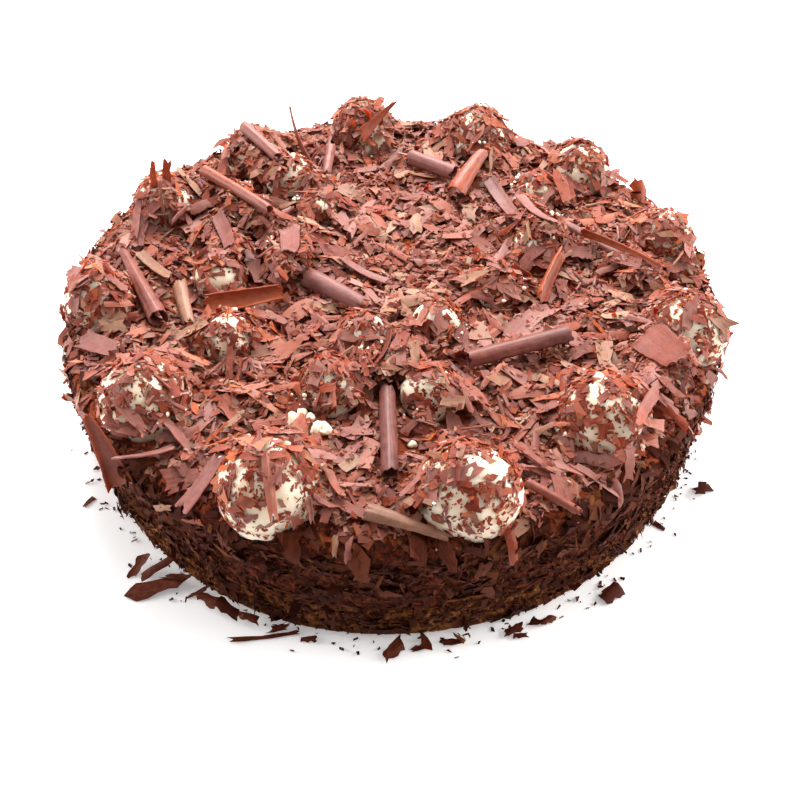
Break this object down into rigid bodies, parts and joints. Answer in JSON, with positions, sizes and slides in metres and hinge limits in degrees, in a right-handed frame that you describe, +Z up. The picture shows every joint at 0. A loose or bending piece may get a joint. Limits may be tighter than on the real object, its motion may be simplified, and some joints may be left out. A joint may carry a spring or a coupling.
{
  "type": "chocolate mousse cake",
  "caption": "Round uncut torte of sponge and mousse under chocolate flakes, with whipped cream balls and large chocolate curls on top; stands on a plate or board.",
  "frame": {"origin": "centre of the flat underside, on the surface that the cake stands on", "axes": "+Z up through the cake; -Y towards the side that the picture shows in front; +X to that view's right"},
  "size_m": [0.2638, 0.2628, 0.0769],
  "materials": {
    "sponge": "matt golden-brown open crumb",
    "chocolate_coat": "dull brown mousse covered with chocolate flakes",
    "whipped_cream": "soft satin ivory cream",
    "milk_chocolate": "satin milk chocolate with fine scrape lines"
  },
  "bodies": {
    "root": {"blade_back": "milk_chocolate", "blade_back_middle": "milk_chocolate", "blade_front_left": "milk_chocolate", "blade_left": "milk_chocolate", "cone_left": "milk_chocolate", "cream_ball_01": "whipped_cream", "cream_ball_02": "whipped_cream", "cream_ball_03": "whipped_cream", "cream_ball_04": "whipped_cream", "cream_ball_05": "whipped_cream", "cream_ball_06": "whipped_cream", "cream_ball_07": "whipped_cream", "cream_ball_08": "whipped_cream", "cream_ball_09": "whipped_cream", "cream_ball_10": "whipped_cream", "cream_ball_11": "whipped_cream", "cream_ball_12": "whipped_cream", "cream_ball_13": "whipped_cream", "cream_ball_14": "whipped_cream", "cream_ball_15": "whipped_cream", "cream_ball_16": "whipped_cream", "cream_ball_17": "whipped_cream", "cream_ball_18": "whipped_cream", "cream_ball_19": "whipped_cream", "cream_ball_20": "whipped_cream", "cream_ball_21": "whipped_cream", "cream_ball_22": "whipped_cream", "cream_ball_23": "whipped_cream", "cream_ball_24": "whipped_cream", "cream_ball_25": "whipped_cream", "fold_back": "milk_chocolate", "horn_hanging": "milk_chocolate", "horn_rim_front": "milk_chocolate", "mousse_body": "chocolate_coat", "roll_back": "milk_chocolate", "roll_front": "milk_chocolate", "roll_right": "milk_chocolate", "shard_front_left": "milk_chocolate", "shard_left": "milk_chocolate", "shard_middle": "milk_chocolate", "shard_right": "milk_chocolate", "sponge_base": "sponge", "strip_back": "milk_chocolate", "strip_back_right": "milk_chocolate", "strip_ball_left": "milk_chocolate", "strip_ball_right": "milk_chocolate", "strip_dark": "milk_chocolate", "strip_left": "milk_chocolate", "strip_middle": "milk_chocolate", "strip_thin": "milk_chocolate", "trough_left": "milk_chocolate", "trough_middle": "milk_chocolate", "trough_orange": "milk_chocolate", "trough_upright": "milk_chocolate", "tube_back": "milk_chocolate", "tube_back_left": "milk_chocolate", "tube_front_right": "milk_chocolate", "tube_left_back": "milk_chocolate", "tube_right_back": "milk_chocolate", "tube_small": "milk_chocolate"}
  },
  "joints": []
}
